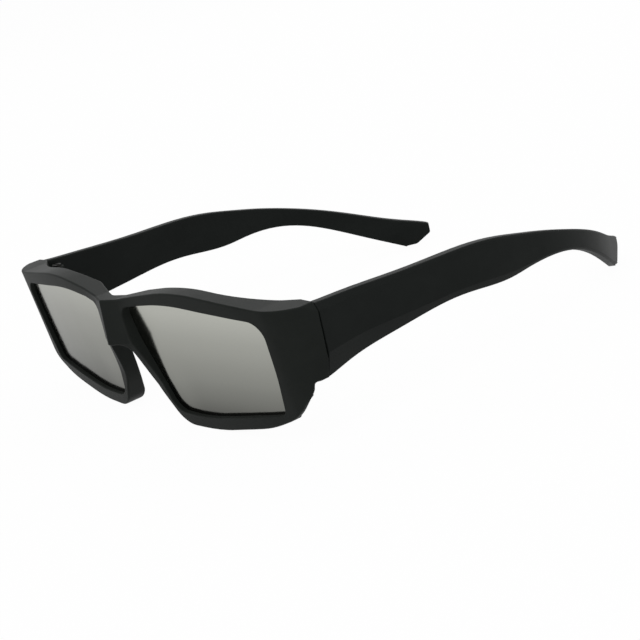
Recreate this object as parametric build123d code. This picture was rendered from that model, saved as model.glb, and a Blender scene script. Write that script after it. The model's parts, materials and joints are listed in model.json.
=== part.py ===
from build123d import *
import math
import os

# Wraparound safety viewing glasses with folding temples and silver reflecting filters.
# All sizes are in millimetres. X runs across the face, with +X at the wearer's left,
# Y runs back along the temples and Z runs up.
# The pieces are modelled with Y zero at the hinge seam and Z zero at the surface they
# stand on, and are moved along Y at the end so that the origin is below their middle.

# Front
HALF_WIDTH = 73.3
FRONT_HEIGHT = 40.3
FRONT_REACH = 16.6
CORNER_RADIUS = 13.0
CORNER_BEHIND = 1.9
FRONT_TILT_DEGREES = 7.0
REAR_REACH = 10.5
REAR_CORNER_WIDTH = 5.8
BRIDGE_PROUD = 5.3
BRIDGE_RELIEF = 4.4
CUT_OVERRUN = 4.0

# A long shallow arc keeps its run and its rise when the width or the height changes, so
# its radius follows the square of the width over the height.
BOW_SHARE = (HALF_WIDTH / FRONT_HEIGHT) ** 2

# Outline of the front seen from ahead, right half from the middle of the brow round to
# the top of the nose arch, as shares of HALF_WIDTH and FRONT_HEIGHT, with the share of
# FRONT_HEIGHT that rounds each corner.
OUTLINE_SHARES = (
    (0.068, 0.914, 0.20),
    (0.425, 1.016, 0.54 * BOW_SHARE),
    (0.846, 0.918, 0.23 * BOW_SHARE),
    (1.080, 0.902, 0.00),
    (1.080, 0.419, 0.00),
    (0.975, 0.413, 0.02),
    (0.862, 0.179, 0.35),
    (0.720, 0.084, 0.30 * BOW_SHARE),
    (0.420, 0.000, 0.66 * BOW_SHARE),
    (0.212, 0.000, 0.21),
    (0.108, 0.285, 0.60),
    (0.070, 0.595, 0.092),
)

# Outline of one lens opening in the front face, on the same shares.
OPENING_SHARES = (
    (0.087, 0.856, 0.075),
    (0.368, 0.916, 0.60 * BOW_SHARE),
    (0.849, 0.829, 0.12),
    (0.838, 0.471, 1.50),
    (0.812, 0.196, 0.06),
    (0.368, 0.086, 0.60 * BOW_SHARE),
    (0.192, 0.098, 0.13),
    (0.092, 0.640, 0.60),
)

# Corners of the space behind the front, as shares of HALF_WIDTH and REAR_REACH, with
# the share of FRONT_HEIGHT that rounds each.
REAR_SHARES = (
    (0.18, 1.00, 0.05),
    (0.37, 1.00, 1.70),
    (0.71, 0.75, 1.50),
)

# Rear edge of the rim and of the lobe outside it, below the temples, seen from the side
# as shares of FRONT_REACH and FRONT_HEIGHT, with the share of FRONT_HEIGHT that rounds
# each corner. The lobe starts at a share of HALF_WIDTH.
RIM_REAR_SHARES = (
    (-0.07, 0.419, 0.03),
    (-0.20, 0.240, 0.20),
    (-0.27, 0.090, 0.00),
)
LOBE_REAR_SHARES = (
    (-0.22, 0.419, 0.02),
    (-0.28, 0.260, 0.30),
    (-0.36, 0.070, 0.00),
)
LOBE_START_SHARE = 0.835

# Level sections of the bridge, which is ridged like a keel: height as a share of
# FRONT_HEIGHT, and how far the ridge and its shoulders stand out from the front's bow,
# as shares of BRIDGE_PROUD. Shoulders and feet lie at shares of HALF_WIDTH.
BRIDGE_SECTION_SHARES = (
    (1.00, 0.42, 0.10),
    (0.60, 1.00, 0.45),
    (0.25, 0.00, 0.00),
)
BRIDGE_SHOULDER_SHARE = 0.085
BRIDGE_FOOT_SHARE = 0.21

# Filters
LENS_RECESS = 1.4
FILM_THICKNESS = 0.3
PANEL_THICKNESS = 0.7
BEZEL_THICKNESS = 0.9
LENS_SEAT = 0.8
BEZEL_SEAT = 0.6
LENS_CLEARANCE = 0.05

# Bevels along the hinge seam, heights from the top and the bottom edge
UPPER_BEVEL_HEIGHT = 2.3
UPPER_BEVEL_DEPTH = 1.5
LOWER_BEVEL_HEIGHT = 7.4
LOWER_BEVEL_DEPTH = 2.2

# Temples
SEAM_GAP = 0.3
TEMPLE_LENGTH = 133.0
TEMPLE_ROOT_WALL = 4.2
TEMPLE_EDGE_ROUND = 0.6
INNER_BEVEL_SHARE = 0.1

# Sections of the temple, from the hinge to the tip: place along the length, outer face,
# top edge and bottom edge, wall, upper bevel and lower bevel, as shares of
# TEMPLE_LENGTH, HALF_WIDTH, FRONT_HEIGHT (twice), TEMPLE_ROOT_WALL and the two bevels.
TEMPLE_SECTION_SHARES = (
    (-0.020, 1.000, 0.910, 0.412, 1.00, 1.00, 1.00),
    (0.060, 0.985, 0.884, 0.452, 0.97, 0.85, 0.77),
    (0.150, 0.976, 0.863, 0.489, 0.93, 0.70, 0.56),
    (0.248, 0.974, 0.842, 0.516, 0.90, 0.50, 0.36),
    (0.353, 0.972, 0.829, 0.522, 0.86, 0.34, 0.27),
    (0.451, 0.966, 0.796, 0.484, 0.83, 0.30, 0.28),
    (0.541, 0.955, 0.730, 0.486, 0.80, 0.28, 0.16),
    (0.632, 0.937, 0.651, 0.479, 0.77, 0.26, 0.10),
    (0.714, 0.902, 0.564, 0.414, 0.74, 0.26, 0.09),
    (0.789, 0.850, 0.469, 0.300, 0.72, 0.26, 0.09),
    (0.857, 0.782, 0.366, 0.169, 0.70, 0.26, 0.09),
    (0.925, 0.697, 0.261, 0.035, 0.68, 0.26, 0.09),
    (1.000, 0.600, 0.158, -0.130, 0.66, 0.26, 0.09),
)

# Round end of the temple seen from the side, from the foot up, as shares of
# TEMPLE_LENGTH and FRONT_HEIGHT, with the share of FRONT_HEIGHT that rounds each corner.
TIP_SHARES = (
    (0.958, 0.000, 0.05),
    (0.9963, 0.090, 0.070),
    (0.9963, 0.170, 0.065),
    (0.860, 0.395, 0.00),
)

# Hinge
HINGE_PIN_RADIUS = 0.8
KNUCKLE_RADIUS = 2.1
KNUCKLE_HEIGHT = 4.6
KNUCKLE_GAP = 0.15
HINGE_INSET = 3.1
HINGE_MIDDLE = 26.8
KNUCKLE_ROOT = 4.0
PIN_CLEARANCE = 0.05
HEAD_RADIUS = 1.5
HEAD_HEIGHT = 0.7
SLOT_WIDTH = 0.4
SLOT_DEPTH = 0.35

HINGE_X = HALF_WIDTH - TEMPLE_ROOT_WALL - HINGE_INSET
HINGE_Y = SEAM_GAP + KNUCKLE_RADIUS


def both_sides(piece):
    return piece + mirror(piece, about=Plane.YZ)


def block(x0, x1, y0, y1, z0, z1):
    return Pos((x0 + x1) / 2, (y0 + y1) / 2, (z0 + z1) / 2) * Box(x1 - x0, y1 - y0, z1 - z0)


def sized(shares, first, second):
    """Corners in real sizes from shares of two sizes and of the front's height."""
    return [(a * first, b * second, radius * FRONT_HEIGHT) for a, b, radius in shares]


def closed_outline(corners):
    """Closed outline through corners of two places and a radius."""
    points = [(a, b) for a, b, radius in corners]
    radii = [radius for a, b, radius in corners]
    return make_face(FilletPolyline(*points, radius=radii, close=True))


def leaning_prism(plan):
    """Stands a plan that is drawn at the top of the front up along the front's lean."""
    lean = math.radians(FRONT_TILT_DEGREES)
    level = Plane(origin=(0, 0, FRONT_HEIGHT), x_dir=(1, 0, 0), z_dir=(0, -math.sin(lean), math.cos(lean)))
    return extrude(level * plan, amount=FRONT_HEIGHT + 2 * CUT_OVERRUN, both=True)


def from_ahead(outline):
    """Runs an outline seen from ahead right through the front."""
    reach = FRONT_REACH + 2 * CUT_OVERRUN
    seen = Plane(origin=(0, -reach, 0), x_dir=(1, 0, 0), z_dir=(0, -1, 0)) * outline
    return Solid.extrude(seen.face(), Vector(0, 2 * reach, 0))


def from_side(outline, start_x):
    """Runs an outline of y and z outwards from a place beside the middle."""
    seen = Plane(origin=(start_x, 0, 0), x_dir=(0, 1, 0), z_dir=(1, 0, 0)) * outline
    return Solid.extrude(seen.face(), Vector(HALF_WIDTH, 0, 0))


def front_bow_radius():
    """Radius of the shallow arc that runs from one corner arc to the other."""
    centre_x = HALF_WIDTH - CORNER_RADIUS
    depth = FRONT_REACH + CORNER_BEHIND
    return (centre_x**2 + depth**2 - CORNER_RADIUS**2) / (2 * (depth - CORNER_RADIUS))


def front_plan():
    """Outer plan of the front: one shallow arc, round corners and straight sides."""
    centre_x = HALF_WIDTH - CORNER_RADIUS
    bow_radius = front_bow_radius()
    turn = math.asin(centre_x / (bow_radius - CORNER_RADIUS))
    meet_x = bow_radius * math.sin(turn)
    meet_y = bow_radius - FRONT_REACH - bow_radius * math.cos(turn)
    half = (math.pi / 2 - turn) / 2
    mid_x = centre_x + CORNER_RADIUS * math.sin(turn + half)
    mid_y = CORNER_BEHIND - CORNER_RADIUS * math.cos(turn + half)
    back = 2 * CUT_OVERRUN
    edges = [
        ThreePointArc((-meet_x, meet_y), (0, -FRONT_REACH), (meet_x, meet_y)),
        Line((-HALF_WIDTH, back), (HALF_WIDTH, back)),
    ]
    for side in (1, -1):
        corner_end = (side * HALF_WIDTH, CORNER_BEHIND)
        edges.append(ThreePointArc((side * meet_x, meet_y), (side * mid_x, mid_y), corner_end))
        edges.append(Line(corner_end, (side * HALF_WIDTH, back)))
    return make_face(edges)


def rear_plan():
    """Space behind the front: relieved for the nose, then flat, closing on the corners."""
    corner_x = HALF_WIDTH - REAR_CORNER_WIDTH
    half = sized(REAR_SHARES, HALF_WIDTH, -REAR_REACH)
    half += [(corner_x, 0, 0), (corner_x, 2 * CUT_OVERRUN, 0)]
    mirrored = [(-x, y, radius) for x, y, radius in reversed(half)]
    relief = (0, -REAR_REACH - BRIDGE_RELIEF, BRIDGE_RELIEF)
    return closed_outline(half + mirrored + [relief])


def bridge_section(index):
    """One level section of the bridge, from its rear to its ridge."""
    level, ridge, shoulder = BRIDGE_SECTION_SHARES[index]
    height = level * FRONT_HEIGHT
    lean = (FRONT_HEIGHT - height) * math.tan(math.radians(FRONT_TILT_DEGREES))
    bow_radius = front_bow_radius()
    half = []
    for share, proud in ((BRIDGE_SHOULDER_SHARE, shoulder), (BRIDGE_FOOT_SHARE, 0)):
        x = share * HALF_WIDTH
        bow_y = bow_radius - FRONT_REACH - math.sqrt(bow_radius**2 - x**2)
        half.append((x, bow_y + lean - proud * BRIDGE_PROUD))
    half.append((BRIDGE_FOOT_SHARE * HALF_WIDTH, lean - REAR_REACH))
    middle = (0, lean - FRONT_REACH - ridge * BRIDGE_PROUD)
    mirrored = [(-x, y) for x, y in reversed(half)]
    return Pos(0, 0, height) * Polygon(middle, *half, *mirrored, align=None)


def lens_slab(depth, thickness):
    """A sheet bent to the front's bow, depth behind the front face of the filters."""
    front_y = depth + LENS_RECESS - FRONT_REACH
    bow_radius = front_bow_radius() - LENS_RECESS
    back = front_y + bow_radius - math.sqrt(bow_radius**2 - HALF_WIDTH**2)
    ahead = ThreePointArc((-HALF_WIDTH, back), (0, front_y), (HALF_WIDTH, back))
    behind = Pos(0, thickness) * ahead
    sides = [Line(ahead @ end, behind @ end) for end in (0, 1)]
    return leaning_prism(make_face([ahead, behind] + sides))


def opening_outline(spread):
    """Outline of the left opening seen from ahead, spread outwards by a seat's width."""
    outline = closed_outline(sized(OPENING_SHARES, HALF_WIDTH, FRONT_HEIGHT))
    if spread:
        outline = offset(outline, amount=spread)
    return outline


def knuckle(low, high, bore):
    """One barrel of the hinge between two heights, and its bore."""
    middle = Pos(HINGE_X, HINGE_Y, (low + high) / 2)
    return middle * Cylinder(KNUCKLE_RADIUS, high - low), middle * Cylinder(bore, high - low)


def side_bevels():
    """Wedges that bevel the outer side of a corner or root above and below."""
    top = OUTLINE_SHARES[3][1] * FRONT_HEIGHT
    crease = OUTLINE_SHARES[4][1] * FRONT_HEIGHT + LOWER_BEVEL_HEIGHT
    far = HALF_WIDTH + CUT_OVERRUN
    slope_up = UPPER_BEVEL_DEPTH / UPPER_BEVEL_HEIGHT
    slope_down = LOWER_BEVEL_DEPTH / LOWER_BEVEL_HEIGHT
    over = CUT_OVERRUN
    upper = Polygon(
        (HALF_WIDTH, top - UPPER_BEVEL_HEIGHT), (far, top - UPPER_BEVEL_HEIGHT), (far, top + over),
        (HALF_WIDTH - UPPER_BEVEL_DEPTH - slope_up * over, top + over), align=None)
    lower = Polygon(
        (HALF_WIDTH, crease), (far, crease), (far, 0),
        (HALF_WIDTH - slope_down * crease, 0), align=None)
    return [from_ahead(outline) for outline in (upper, lower)]


def space_below_temple(shares, start_x):
    """Space behind the lower part of the front, from a place beside the middle outwards."""
    corners = sized(shares, FRONT_REACH, FRONT_HEIGHT)
    top_z = corners[0][1]
    low_y = corners[-1][0]
    corners += [(low_y, -CUT_OVERRUN, 0), (CUT_OVERRUN, -CUT_OVERRUN, 0), (CUT_OVERRUN, top_z, 0)]
    return from_side(closed_outline(corners), start_x)


def make_front():
    """Brow, rims, bridge, corners and outer hinge knuckles, moulded in one."""
    half = sized(OUTLINE_SHARES, HALF_WIDTH, FRONT_HEIGHT)
    mirrored = [(-x, z, radius) for x, z, radius in reversed(half)]
    outline = from_ahead(closed_outline(half + mirrored))
    bridge = loft([bridge_section(index) for index in range(len(BRIDGE_SECTION_SHARES))], ruled=True)
    band = leaning_prism(front_plan()) + bridge - leaning_prism(rear_plan())
    front = band & outline
    behind_seam = block(
        -2 * HALF_WIDTH, 2 * HALF_WIDTH, 0, 2 * FRONT_REACH, -FRONT_HEIGHT, 2 * FRONT_HEIGHT)
    front = front - behind_seam
    opening = from_ahead(opening_outline(0))
    rebate = from_ahead(opening_outline(LENS_SEAT)) & lens_slab(0, 2 * FRONT_REACH)
    rim_rear = space_below_temple(RIM_REAR_SHARES, 0)
    lobe_rear = space_below_temple(LOBE_REAR_SHARES, LOBE_START_SHARE * HALF_WIDTH)
    for cut in [opening, rebate, rim_rear, lobe_rear] + side_bevels():
        front = front - both_sides(cut)
    half_gap = KNUCKLE_HEIGHT / 2 + KNUCKLE_GAP
    for low in (HINGE_MIDDLE + half_gap, HINGE_MIDDLE - half_gap - KNUCKLE_HEIGHT):
        high = low + KNUCKLE_HEIGHT
        barrel, bore = knuckle(low, high, HINGE_PIN_RADIUS)
        web = block(
            HINGE_X - KNUCKLE_RADIUS, HINGE_X + KNUCKLE_RADIUS, -KNUCKLE_ROOT, HINGE_Y, low, high)
        front = front + both_sides(web + barrel) - both_sides(bore)
    return front


def make_sheet(depth, thickness):
    """One sheet of the left filter stack, cut to the rebate with its clearance."""
    outline = from_ahead(opening_outline(LENS_SEAT - LENS_CLEARANCE))
    return lens_slab(depth, thickness) & outline


def make_bezel():
    """Ring that holds the left filter stack in the rebate."""
    ring = make_sheet(FILM_THICKNESS + PANEL_THICKNESS, BEZEL_THICKNESS)
    return ring - from_ahead(opening_outline(LENS_SEAT - LENS_CLEARANCE - 2 * BEZEL_SEAT))


def temple_section(index):
    """One section of the left temple, square to its path."""
    place, side, top, bottom, wall, upper, lower = TEMPLE_SECTION_SHARES[index]
    top_z = top * FRONT_HEIGHT
    bottom_z = bottom * FRONT_HEIGHT
    thick = wall * TEMPLE_ROOT_WALL
    before = TEMPLE_SECTION_SHARES[max(index - 1, 0)]
    after = TEMPLE_SECTION_SHARES[min(index + 1, len(TEMPLE_SECTION_SHARES) - 1)]
    run_x = (after[1] - before[1]) * HALF_WIDTH
    run_y = (after[0] - before[0]) * TEMPLE_LENGTH
    along = Vector(run_x, run_y, 0).normalized()
    if index == 0:
        along = Vector(0, 1, 0)
    across = Vector(along.Y, -along.X, 0)
    origin = (side * HALF_WIDTH, place * TEMPLE_LENGTH, 0)
    plane = Plane(origin=origin, x_dir=across, z_dir=across.cross(Vector(0, 0, 1)))
    corners = [
        (0, bottom_z + lower * LOWER_BEVEL_HEIGHT),
        (0, top_z - upper * UPPER_BEVEL_HEIGHT),
        (-upper * UPPER_BEVEL_DEPTH, top_z),
        (-thick, top_z),
        (-thick, bottom_z),
        (-lower * LOWER_BEVEL_DEPTH - INNER_BEVEL_SHARE * thick, bottom_z),
    ]
    return plane * make_face(FilletPolyline(*corners, radius=TEMPLE_EDGE_ROUND, close=True))


def tip_profile():
    """Side view of all that is kept of the temple: a seam, a flat foot and a round end."""
    corners = [(SEAM_GAP, 0, 0)] + sized(TIP_SHARES, TEMPLE_LENGTH, FRONT_HEIGHT)
    last_y = corners[-1][0]
    ceiling = FRONT_HEIGHT + CUT_OVERRUN
    corners += [(last_y, ceiling, 0), (SEAM_GAP, ceiling, 0)]
    return from_side(closed_outline(corners), 0)


def make_temple():
    """Left temple with its middle hinge knuckle."""
    sections = [temple_section(index) for index in range(len(TEMPLE_SECTION_SHARES))]
    temple = loft(sections) & tip_profile()
    low = HINGE_MIDDLE - KNUCKLE_HEIGHT / 2
    high = HINGE_MIDDLE + KNUCKLE_HEIGHT / 2
    barrel, bore = knuckle(low, high, HINGE_PIN_RADIUS + PIN_CLEARANCE)
    web = block(
        HINGE_X, HALF_WIDTH - TEMPLE_ROOT_WALL / 2, SEAM_GAP, HINGE_Y + KNUCKLE_RADIUS, low, high)
    return temple + barrel + web - bore


def make_screw():
    """Left hinge screw: its shank is the pin, with a slotted head on the top knuckle."""
    half = KNUCKLE_HEIGHT + KNUCKLE_HEIGHT / 2 + KNUCKLE_GAP
    shank = Pos(HINGE_X, HINGE_Y, HINGE_MIDDLE) * Cylinder(HINGE_PIN_RADIUS, 2 * half)
    head_low = HINGE_MIDDLE + half
    head_top = head_low + HEAD_HEIGHT
    head = Pos(HINGE_X, HINGE_Y, (head_low + head_top) / 2) * Cylinder(HEAD_RADIUS, HEAD_HEIGHT)
    slot = block(
        HINGE_X - 2 * HEAD_RADIUS, HINGE_X + 2 * HEAD_RADIUS, HINGE_Y - SLOT_WIDTH / 2,
        HINGE_Y + SLOT_WIDTH / 2, head_top - SLOT_DEPTH, head_top + CUT_OVERRUN)
    return shank + head - slot


def main():
    front = make_front()
    left = {
        "temple": make_temple(),
        "hinge_screw": make_screw(),
        "filter_film": make_sheet(0, FILM_THICKNESS),
        "lens_panel": make_sheet(FILM_THICKNESS, PANEL_THICKNESS),
        "lens_bezel": make_bezel(),
    }
    box = front.bounding_box().add(left["temple"].bounding_box())
    middle_y = (box.min.Y + box.max.Y) / 2
    to_origin = Pos(0, -middle_y, 0)
    os.makedirs("parts", exist_ok=True)
    export_step(to_origin * front, "parts/front_frame.step")
    for name, piece in left.items():
        export_step(to_origin * piece, f"parts/left_{name}.step")
        export_step(to_origin * mirror(piece, about=Plane.YZ), f"parts/right_{name}.step")
    print("hinge axis", HINGE_X, HINGE_Y - middle_y)
    print("box", box.min, box.max, "moved back by", -middle_y)


main()
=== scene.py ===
import json
import math

import bpy
from mathutils import Matrix, Vector

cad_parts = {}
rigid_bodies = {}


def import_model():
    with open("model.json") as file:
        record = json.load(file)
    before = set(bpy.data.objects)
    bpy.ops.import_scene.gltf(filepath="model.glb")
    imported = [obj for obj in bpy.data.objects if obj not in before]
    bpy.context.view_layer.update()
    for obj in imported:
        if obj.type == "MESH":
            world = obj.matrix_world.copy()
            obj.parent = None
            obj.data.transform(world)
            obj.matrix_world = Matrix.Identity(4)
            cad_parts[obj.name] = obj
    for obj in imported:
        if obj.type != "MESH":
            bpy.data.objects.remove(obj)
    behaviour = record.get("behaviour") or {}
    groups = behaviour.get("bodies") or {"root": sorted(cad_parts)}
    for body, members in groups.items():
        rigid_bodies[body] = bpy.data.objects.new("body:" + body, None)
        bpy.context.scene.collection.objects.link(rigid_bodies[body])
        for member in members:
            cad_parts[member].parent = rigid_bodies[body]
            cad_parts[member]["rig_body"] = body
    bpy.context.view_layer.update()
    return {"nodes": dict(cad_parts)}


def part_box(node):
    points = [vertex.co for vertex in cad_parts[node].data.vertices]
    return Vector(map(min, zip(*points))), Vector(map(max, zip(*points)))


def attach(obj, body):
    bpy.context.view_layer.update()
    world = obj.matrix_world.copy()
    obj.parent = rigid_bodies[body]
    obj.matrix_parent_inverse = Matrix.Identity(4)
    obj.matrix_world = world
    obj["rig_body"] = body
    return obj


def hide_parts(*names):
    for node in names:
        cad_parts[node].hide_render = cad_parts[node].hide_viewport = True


# Wraparound safety viewing glasses with folding temples and silver reflecting filters,
# finished, lit and seen from the left and a little above. Lengths are in metres.
# X runs across the face, with +X at the wearer's left, Y back along the temples, Z up.

MILLIMETRE = 0.001
IMAGE_SIZE = 640
SENSOR_WIDTH = 36.0

# Camera: place, and the way it looks. Azimuth 0 looks along +Y and 90 along -X.
CAMERA_PLACE = Vector((0.3602, -0.2505, 0.1364))
CAMERA_AZIMUTH = 55.95
CAMERA_DOWNWARD = 16.75
CAMERA_ROLL = -13.48
FOCAL_PIXELS = 1520.0

# Studio: a pale floor, a plain world, and soft square lamps that look at the glasses
FLOOR_HALF = 3.0
FLOOR_WHITE = 0.92
FLOOR_ROUGHNESS = 0.9
FLOOR_GLOW = 0.97
WORLD_LEVEL = 0.55
WHITE = (1, 1, 1, 1)
SEEN_RAYS = ("Is Camera Ray", "Is Glossy Ray", "Is Transmission Ray")
LAMP_SIZE = 0.9
LAMPS = (
    ("key_lamp", Vector((0.5, -0.5, 1.1)), 5.0),
    ("back_lamp", Vector((-0.6, 0.7, 0.9)), 3.0),
)

# Rounding of the edges of the mouldings, sheets and screws, where the share is 1
MOULDING_ROUND = 0.5 * MILLIMETRE
SHEET_ROUND = 0.08 * MILLIMETRE
SCREW_ROUND = 0.1 * MILLIMETRE
ROUND_STEPS = 4
MERGE_DISTANCE = 0.002 * MILLIMETRE
FLAT_ANGLE = math.radians(1)
SHARP_ANGLE = math.radians(45)
SMOOTH_ANGLE = math.radians(36)

# Shares of the mouldings' rounding that the edges of the front and the temples take
OUTER_FRONT_SHARE = 1.0
OUTER_SHARE = 0.9
OPENING_SHARE = 0.6
REBATE_SHARE = 0.2
SEAM_SHARE = 0.4
TIP_SHARE = 1.8

# Where the corners of the front and the round ends of the temples start
CORNER_START = 54.0 * MILLIMETRE
TIP_START = 60.0 * MILLIMETRE
END_FACE_TURN = 0.02

# Middle of the left lens seen from ahead, and the least forward turn of a front face
LENS_MIDDLE_X = 34.0 * MILLIMETRE
LENS_MIDDLE_Z = 19.5 * MILLIMETRE
FORWARD_TURN = -0.3
KNUCKLE_BEHIND_SEAM = 4.5 * MILLIMETRE

# Moulded plastic: flow clouds drawn out along Y, rubbed patches and spark-eroded grain
FRONT_DARK = (0.008, 0.0094, 0.0086)
FRONT_LIGHT = (0.019, 0.0215, 0.0195)
# The temples take a darker copy of the front's plastic: painted shade for their side faces
TEMPLE_SHADED_DARK = (0.006, 0.0072, 0.0066)
TEMPLE_SHADED_LIGHT = (0.015, 0.0172, 0.016)
PLASTIC_CLOUDS = {"size": 14.0 * MILLIMETRE, "detail": 3.0, "stretch": (1, 2.2, 1)}
PLASTIC_RUBBED = {"size": 3.5 * MILLIMETRE, "detail": 4.0}
PLASTIC_GRAIN = {"size": 0.16 * MILLIMETRE, "detail": 1.0}
CLOUDS_IN_COLOUR = 0.7
RUBBED_IN_COLOUR = 0.3
PLASTIC_ROUGHNESS = 0.36
PLASTIC_SPREAD = 0.06
PLASTIC_SPECULAR = 0.045
GRAIN_DEPTH = 0.006 * MILLIMETRE

# Silver film: its colour, a painted reflection that darkens towards the bottom, from its
# lower edge to a height, as shares of that height
FILM_TOP = 40.0 * MILLIMETRE
FILM_PAINTED_REFLECTION_STOPS = (
    (0.10, (0.110, 0.111, 0.101)),
    (0.20, (0.165, 0.167, 0.152)),
    (0.35, (0.231, 0.234, 0.213)),
    (0.50, (0.273, 0.276, 0.251)),
    (0.70, (0.342, 0.346, 0.315)),
    (0.88, (0.436, 0.441, 0.401)),
)
FILM_CLOUDS = {"size": 22.0 * MILLIMETRE, "detail": 2.0, "stretch": (1, 1, 2.4)}
FILM_RIPPLES = {"size": 30.0 * MILLIMETRE, "detail": 1.0, "stretch": (0.5, 1, 2.5)}
FILM_CLOUD_WEIGHT = 0.06
FILM_ROUGHNESS = 0.11
FILM_SPREAD = 0.06
FILM_EDGE_TINT = (0.7, 0.7, 0.7, 1)
RIPPLE_DEPTH = 0.12 * MILLIMETRE

# Painted darker reflection on the film below and away from the nose: a step across, a step
# down, its weight
PAINTED_DARK_ACROSS = (17.0 * MILLIMETRE, 27.0 * MILLIMETRE)
PAINTED_DARK_DOWN = (24.0 * MILLIMETRE, 12.0 * MILLIMETRE)
PAINTED_DARK_WEIGHT = 0.06

# Dark panel
PANEL_COLOUR = (0.006, 0.006, 0.007, 1)
PANEL_HAZE = {"size": 9.0 * MILLIMETRE, "detail": 3.0}
PANEL_ROUGHNESS = 0.1
PANEL_SPREAD = 0.08

# Screw steel: wear, and the rings that the lathe left round the pin's axis
STEEL_COLOUR = (0.02, 0.02, 0.019, 1)
STEEL_WEAR = {"size": 0.5 * MILLIMETRE, "detail": 3.0}
STEEL_RINGS = {"size": 0.08 * MILLIMETRE, "detail": 1.0, "stretch": (30, 30, 1)}
STEEL_ROUGHNESS = 0.3
WEAR_SPREAD = 0.12
RING_SPREAD = 0.08
RING_DEPTH = 0.004 * MILLIMETRE

# Places of the colour sockets on a Mix node
MIX_FIRST = 6
MIX_SECOND = 7
MIX_RESULT = 2


class Value:
    """One output of a material's nodes. Arithmetic on it adds the Math nodes it needs."""

    def __init__(self, paint, output):
        self.paint = paint
        self.output = output

    def maths(self, operation, first, second):
        return self.paint.add("Math", {"operation": operation}, {0: first, 1: second})

    def __add__(self, other):
        return self.maths("ADD", self, other)

    def __sub__(self, other):
        return self.maths("SUBTRACT", self, other)

    def __mul__(self, other):
        return self.maths("MULTIPLY", self, other)

    __radd__ = __add__


class Paint:
    """A material and its nodes, with a Principled surface."""

    def __init__(self, name):
        self.material = bpy.data.materials.new(name)
        self.material.use_nodes = True
        self.tree = self.material.node_tree
        self.surface = self.tree.nodes["Principled BSDF"]

    def add(self, kind, settings, values, output=0):
        node = self.tree.nodes.new("ShaderNode" + kind)
        for name, setting in settings.items():
            if name == "stops":
                self.place_stops(node.color_ramp, setting)
            else:
                setattr(node, name, setting)
        for socket, value in values.items():
            self.feed(node.inputs[socket], value)
        return Value(self, node.outputs[output])

    def place_stops(self, ramp, stops):
        while len(ramp.elements) < len(stops):
            ramp.elements.new(1.0)
        for element, (place, colour) in zip(ramp.elements, stops):
            element.position = place
            element.color = (*colour, 1)

    def feed(self, socket, value):
        if isinstance(value, Value):
            self.tree.links.new(value.output, socket)
        else:
            socket.default_value = value

    def set(self, socket, value):
        self.feed(self.surface.inputs[socket], value)

    def place(self):
        return self.add("TexCoord", {}, {}, output="Object")

    def part_of_place(self, axis):
        return self.add("SeparateXYZ", {}, {0: self.place()}, output=axis)

    def ramp(self, value, stops):
        return self.add("ValToRGB", {"stops": stops}, {0: value})

    def step(self, value, ends):
        """Rises smoothly from 0 to 1 as a value goes from one end to the other."""
        values = {"Value": value, "From Min": ends[0], "From Max": ends[1]}
        return self.add("MapRange", {"interpolation_type": "SMOOTHSTEP"}, values)

    def noise(self, size, detail, stretch=(1, 1, 1)):
        """Clouds from 0 to 1 whose lumps are about size across, drawn out by stretch."""
        scale = tuple(1 / (size * share) for share in stretch)
        spread = self.add("Mapping", {}, {"Vector": self.place(), "Scale": scale})
        return self.add("TexNoise", {}, {"Vector": spread, "Scale": 1.0, "Detail": detail})

    def mix_colours(self, share, first, second):
        settings = {"data_type": "RGBA"}
        values = {0: share, MIX_FIRST: (*first, 1), MIX_SECOND: (*second, 1)}
        return self.add("Mix", settings, values, output=MIX_RESULT)

    def bump(self, height, depth):
        """Relief of a height from 0 to 1 and a depth in metres, fed to the surface."""
        values = {"Height": height, "Distance": depth, "Strength": 1.0}
        self.set("Normal", self.add("Bump", {}, values, output="Normal"))


def moulded_plastic(name, dark, light):
    """Satin black moulding: fine spark-eroded grain, faint flow clouds, rubbed patches."""
    paint = Paint(name)
    clouds = paint.noise(**PLASTIC_CLOUDS)
    rubbed = paint.noise(**PLASTIC_RUBBED)
    grain = paint.noise(**PLASTIC_GRAIN)
    mottle = clouds * CLOUDS_IN_COLOUR + rubbed * RUBBED_IN_COLOUR
    paint.set("Base Color", paint.mix_colours(mottle, dark, light))
    roughness = PLASTIC_ROUGHNESS + clouds * PLASTIC_SPREAD
    paint.set("Roughness", roughness + rubbed * PLASTIC_SPREAD + grain * PLASTIC_SPREAD)
    paint.set("Specular IOR Level", PLASTIC_SPECULAR)
    paint.bump(grain, GRAIN_DEPTH)
    return paint.material


def silver_film():
    """Reflecting filter film: silver coat with faint random clouds on a limp sheet, with a
    painted reflection that darkens it towards the bottom and in a lower outer patch.
    """
    paint = Paint("silver_film")
    paint.set("Metallic", 1.0)
    clouds = paint.noise(**FILM_CLOUDS)
    across = paint.part_of_place("X")
    height = paint.part_of_place("Z")
    away = across.maths("ABSOLUTE", across, 0.0)
    # Painted reflection: the film is darkened low down and away from the nose
    painted_dark_patch = paint.step(away, PAINTED_DARK_ACROSS) * paint.step(height, PAINTED_DARK_DOWN)
    # Painted reflection: the film's colour darkens towards the bottom; the clouds are
    # random tone of the coat
    tone_and_painted_reflection = height * (1 / FILM_TOP) + clouds * FILM_CLOUD_WEIGHT - painted_dark_patch * PAINTED_DARK_WEIGHT
    paint.set("Base Color", paint.ramp(tone_and_painted_reflection, FILM_PAINTED_REFLECTION_STOPS))
    paint.set("Roughness", FILM_ROUGHNESS + clouds * FILM_SPREAD)
    paint.set("Specular Tint", FILM_EDGE_TINT)
    paint.bump(paint.noise(**FILM_RIPPLES), RIPPLE_DEPTH)
    return paint.material


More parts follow.
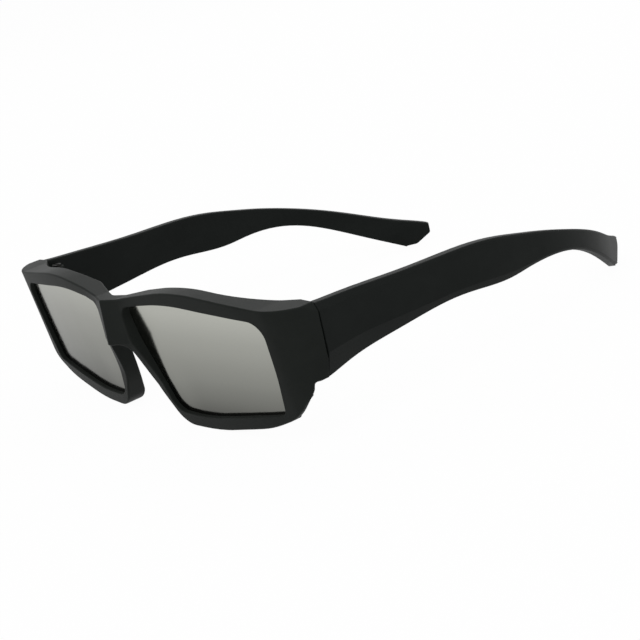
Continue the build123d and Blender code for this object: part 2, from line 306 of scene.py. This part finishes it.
def dark_panel():
    """Stiff near-black polymer sheet behind the film, with a clean pressed surface."""
    paint = Paint("dark_panel")
    paint.set("Base Color", PANEL_COLOUR)
    paint.set("Roughness", PANEL_ROUGHNESS + paint.noise(**PANEL_HAZE) * PANEL_SPREAD)
    return paint.material


def screw_steel():
    """Blackened steel, turned, with fine rings round the pin's axis."""
    paint = Paint("screw_steel")
    paint.set("Base Color", STEEL_COLOUR)
    paint.set("Metallic", 1.0)
    wear = paint.noise(**STEEL_WEAR)
    rings = paint.noise(**STEEL_RINGS)
    paint.set("Roughness", STEEL_ROUGHNESS + wear * WEAR_SPREAD + rings * RING_SPREAD)
    paint.bump(rings, RING_DEPTH)
    return paint.material


def only(piece):
    """Selects one piece and nothing else."""
    bpy.ops.object.select_all(action="DESELECT")
    piece.select_set(True)
    bpy.context.view_layer.objects.active = piece


def merged_copy(node_name, name):
    """A copy of a solid's surface with its loose triangles joined up into flat faces."""
    source = frame["nodes"][node_name]
    piece = bpy.data.objects.new(name, source.data.copy())
    bpy.context.scene.collection.objects.link(piece)
    piece.data.materials.clear()
    only(piece)
    bpy.ops.object.mode_set(mode="EDIT")
    bpy.ops.mesh.select_all(action="SELECT")
    bpy.ops.mesh.remove_doubles(threshold=MERGE_DISTANCE)
    bpy.ops.mesh.dissolve_limited(angle_limit=FLAT_ANGLE)
    bpy.ops.object.mode_set(mode="OBJECT")
    if piece.data.has_custom_normals:
        bpy.ops.mesh.customdata_custom_splitnormals_clear()
    return piece


def front_share(middle, normals):
    """Share of the rounding for an edge of the front, from its middle and its faces."""
    if middle.y > seam_y - MOULDING_ROUND:
        return SEAM_SHARE
    wall = min(normals, key=lambda normal: abs(normal.y))
    lens_x = math.copysign(LENS_MIDDLE_X, middle.x)
    towards_lens = Vector((lens_x - middle.x, 0, LENS_MIDDLE_Z - middle.z))
    forward = min(normal.y for normal in normals) < FORWARD_TURN
    if wall.dot(towards_lens) > 0:
        return OPENING_SHARE if forward else REBATE_SHARE
    return OUTER_FRONT_SHARE if forward and abs(middle.x) <= CORNER_START else OUTER_SHARE


def temple_share(middle, normals):
    """Share of the rounding for an edge of a temple: its seam and its round end."""
    if middle.y < seam_y + MOULDING_ROUND:
        return SEAM_SHARE
    end_face = min(abs(normal.x) for normal in normals) < END_FACE_TURN
    return TIP_SHARE if end_face and middle.y > TIP_START else 0.0


def even_share(middle, normals):
    """The whole rounding for every edge."""
    return 1.0


def weigh_edges(piece, share_of):
    """Marks every sharp edge with the share of the rounding that it takes."""
    mesh = piece.data
    faces = {}
    for face in mesh.polygons:
        for key in face.edge_keys:
            faces.setdefault(key, []).append(face.normal.copy())
    weights = mesh.attributes.new("bevel_weight_edge", "FLOAT", "EDGE")
    for edge in mesh.edges:
        normals = faces[edge.key]
        if normals[0].angle(normals[-1], 0.0) > SHARP_ANGLE:
            start, end = (mesh.vertices[index].co for index in edge.vertices)
            weights.data[edge.index].value = share_of((start + end) / 2, normals)


def finished(node_name, edge_round, share_of, material):
    """Stands for a solid: the same shape with rounded edges and its own finish."""
    piece = merged_copy(node_name, node_name + "_finish")
    weigh_edges(piece, share_of)
    bevel = piece.modifiers.new("rounded edges", "BEVEL")
    bevel.width = edge_round
    bevel.segments = ROUND_STEPS
    bevel.limit_method = "WEIGHT"
    bevel.use_clamp_overlap = False
    bevel.loop_slide = False
    only(piece)
    bpy.ops.object.modifier_apply(modifier=bevel.name)
    bpy.ops.object.shade_smooth_by_angle(angle=SMOOTH_ANGLE)
    evened = piece.modifiers.new("evened shading", "WEIGHTED_NORMAL")
    evened.keep_sharp = True
    bpy.ops.object.modifier_apply(modifier=evened.name)
    piece.data.materials.append(material)
    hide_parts(node_name)
    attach(piece, frame["nodes"][node_name]["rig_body"])


def dress_glasses():
    """Every piece of the glasses in its finish."""
    front = moulded_plastic("front_plastic", FRONT_DARK, FRONT_LIGHT)
    # Painted shade: the temples' copy of the plastic is darker than the front's
    temple = moulded_plastic("temple_plastic", TEMPLE_SHADED_DARK, TEMPLE_SHADED_LIGHT)
    film = silver_film()
    panel = dark_panel()
    steel = screw_steel()
    finished("front_frame", MOULDING_ROUND, front_share, front)
    for side in ("left", "right"):
        finished(side + "_temple", MOULDING_ROUND, temple_share, temple)
        finished(side + "_filter_film", SHEET_ROUND, even_share, film)
        finished(side + "_lens_panel", SHEET_ROUND, even_share, panel)
        finished(side + "_lens_bezel", SHEET_ROUND, even_share, front)
        finished(side + "_hinge_screw", SCREW_ROUND, even_share, steel)


def seen_rays(paint):
    """1 on rays that see the background directly, in a mirror or through glass."""
    total = paint.add("LightPath", {}, {}, output=SEEN_RAYS[0])
    for name in SEEN_RAYS[1:]:
        total = total + paint.add("LightPath", {}, {}, output=name)
    return total.maths("MINIMUM", total, 1.0)


def make_floor():
    """Pale floor that shows white and keeps a soft shadow."""
    bpy.ops.object.select_all(action="DESELECT")
    bpy.ops.mesh.primitive_plane_add(size=2 * FLOOR_HALF)
    floor = bpy.context.object
    floor.name = "floor"
    paint = Paint("pale_floor")
    paint.set("Base Color", (FLOOR_WHITE, FLOOR_WHITE, FLOOR_WHITE, 1))
    paint.set("Roughness", FLOOR_ROUGHNESS)
    paint.set("Specular IOR Level", 0.0)
    glow = paint.add("Emission", {}, {"Color": WHITE, "Strength": 1.0})
    seen = seen_rays(paint)
    lit = Value(paint, paint.surface.outputs[0])
    both = paint.add("MixShader", {}, {0: seen * FLOOR_GLOW, 1: lit, 2: glow})
    paint.feed(paint.tree.nodes["Material Output"].inputs["Surface"], both)
    floor.data.materials.append(paint.material)


def make_world():
    """White all round where it is seen, and a plain level of light elsewhere."""
    world = bpy.data.worlds.new("studio")
    bpy.context.scene.world = world
    world.use_nodes = True
    tree = world.node_tree
    background = tree.nodes["Background"]
    background.inputs["Color"].default_value = WHITE
    path = tree.nodes.new("ShaderNodeLightPath")
    seen = path.outputs[SEEN_RAYS[0]]
    for name in SEEN_RAYS[1:]:
        total = tree.nodes.new("ShaderNodeMath")
        total.operation = "ADD"
        total.use_clamp = True
        tree.links.new(path.outputs[name], total.inputs[0])
        tree.links.new(seen, total.inputs[1])
        seen = total.outputs[0]
    level = tree.nodes.new("ShaderNodeMapRange")
    level.inputs["To Min"].default_value = WORLD_LEVEL
    level.inputs["To Max"].default_value = 1.0
    tree.links.new(seen, level.inputs["Value"])
    tree.links.new(level.outputs[0], background.inputs["Strength"])


def make_lamps():
    """Soft square lamps above, each with a plain share of the light."""
    for name, place, watts in LAMPS:
        data = bpy.data.lights.new(name, "AREA")
        data.shape = "SQUARE"
        data.size = LAMP_SIZE
        data.energy = watts
        lamp = bpy.data.objects.new(name, data)
        lamp.location = place
        lamp.rotation_euler = (-place).to_track_quat("-Z", "Y").to_euler()
        bpy.context.scene.collection.objects.link(lamp)


def make_camera():
    """The photograph's view, from its place, angles and roll."""
    data = bpy.data.cameras.new("camera")
    data.sensor_width = SENSOR_WIDTH
    data.lens = FOCAL_PIXELS / IMAGE_SIZE * SENSOR_WIDTH
    camera = bpy.data.objects.new("camera", data)
    turn = Matrix.Rotation(math.radians(CAMERA_AZIMUTH), 3, "Z")
    tilt = Matrix.Rotation(math.radians(90 - CAMERA_DOWNWARD), 3, "X")
    roll = Matrix.Rotation(math.radians(CAMERA_ROLL), 3, "Z")
    camera.matrix_world = Matrix.Translation(CAMERA_PLACE) @ (turn @ tilt @ roll).to_4x4()
    bpy.context.scene.collection.objects.link(camera)
    bpy.context.scene.camera = camera


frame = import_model()
seam_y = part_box("front_frame")[1].y - KNUCKLE_BEHIND_SEAM
make_camera()
dress_glasses()
make_floor()
make_world()
make_lamps()
bpy.context.scene.view_settings.view_transform = "Standard"
